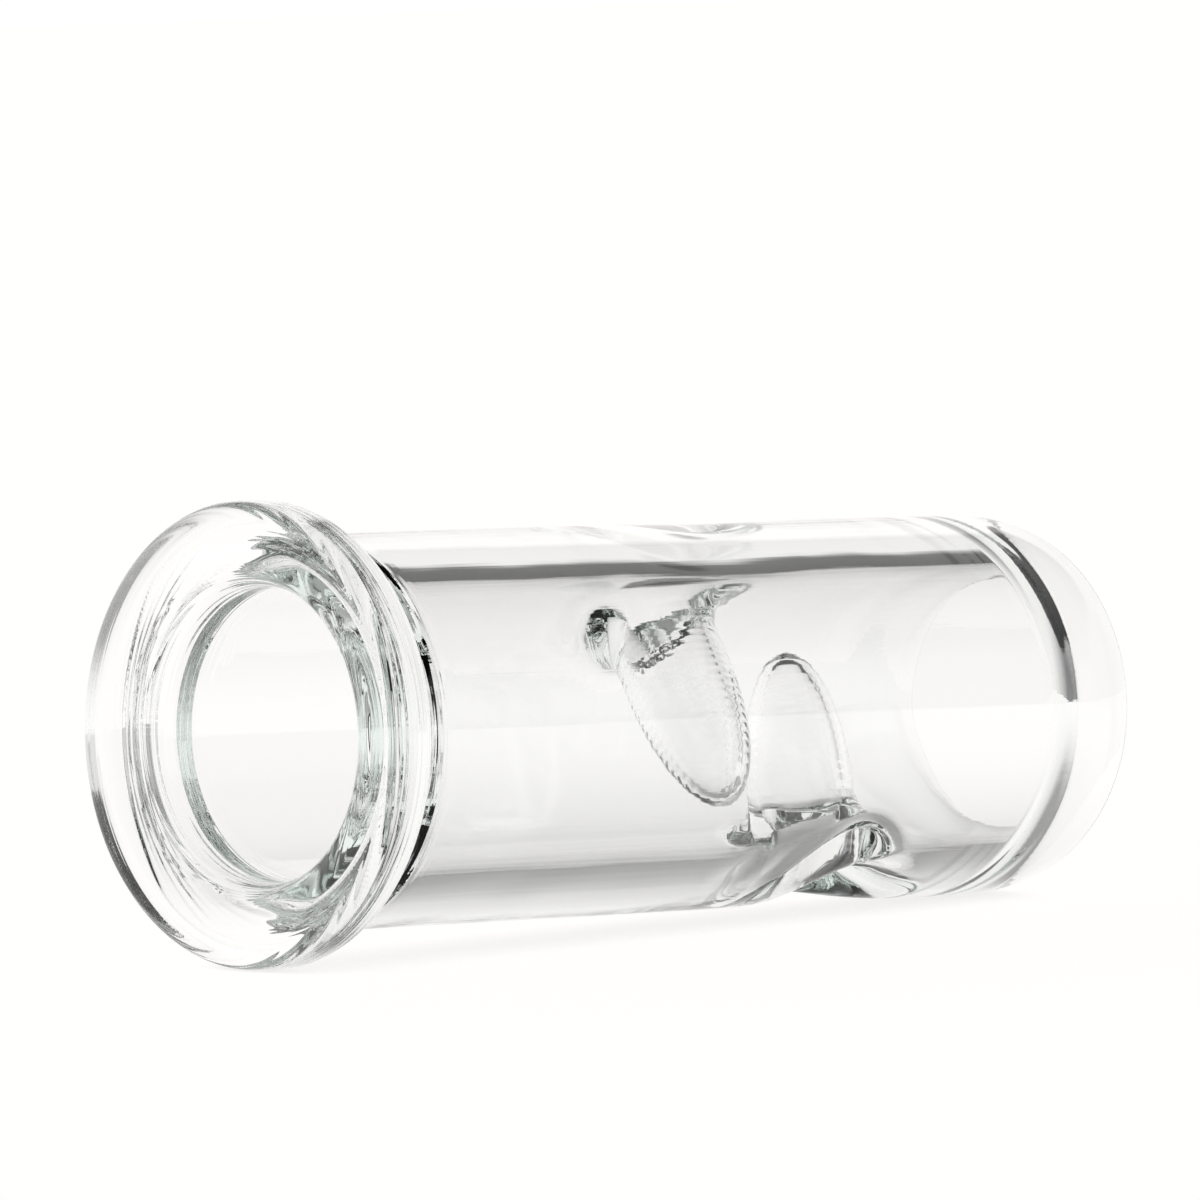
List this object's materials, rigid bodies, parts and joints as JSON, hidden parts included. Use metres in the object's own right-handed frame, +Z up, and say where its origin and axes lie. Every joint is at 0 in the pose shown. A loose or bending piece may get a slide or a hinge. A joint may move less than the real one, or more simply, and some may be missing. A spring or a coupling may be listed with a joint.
{
  "type": "guitar slide",
  "caption": "Heavy-wall clear glass tube worn over a finger, with a flared lip, deep inward dimples and a flame-softened far end.",
  "frame": {"origin": "on the axis of the finger bore where its straight wall begins, 3.0 mm inside the flared lip's front face", "axes": "+X along the bore from the lip to the tail, +Z up as the slide lies, +Y completes the right hand"},
  "size_m": [0.0698, 0.0294, 0.0294],
  "materials": {
    "clear_glass": "fire-polished, clear, very slight grey-green cast, faintly rippled where it was worked"
  },
  "bodies": {
    "root": {"flared_lip": "clear_glass", "front_barrel": "clear_glass", "dented_barrel": "clear_glass", "upper_dimple": "clear_glass", "lower_dimple": "clear_glass", "rear_barrel": "clear_glass", "tail_rim": "clear_glass"}
  },
  "joints": []
}
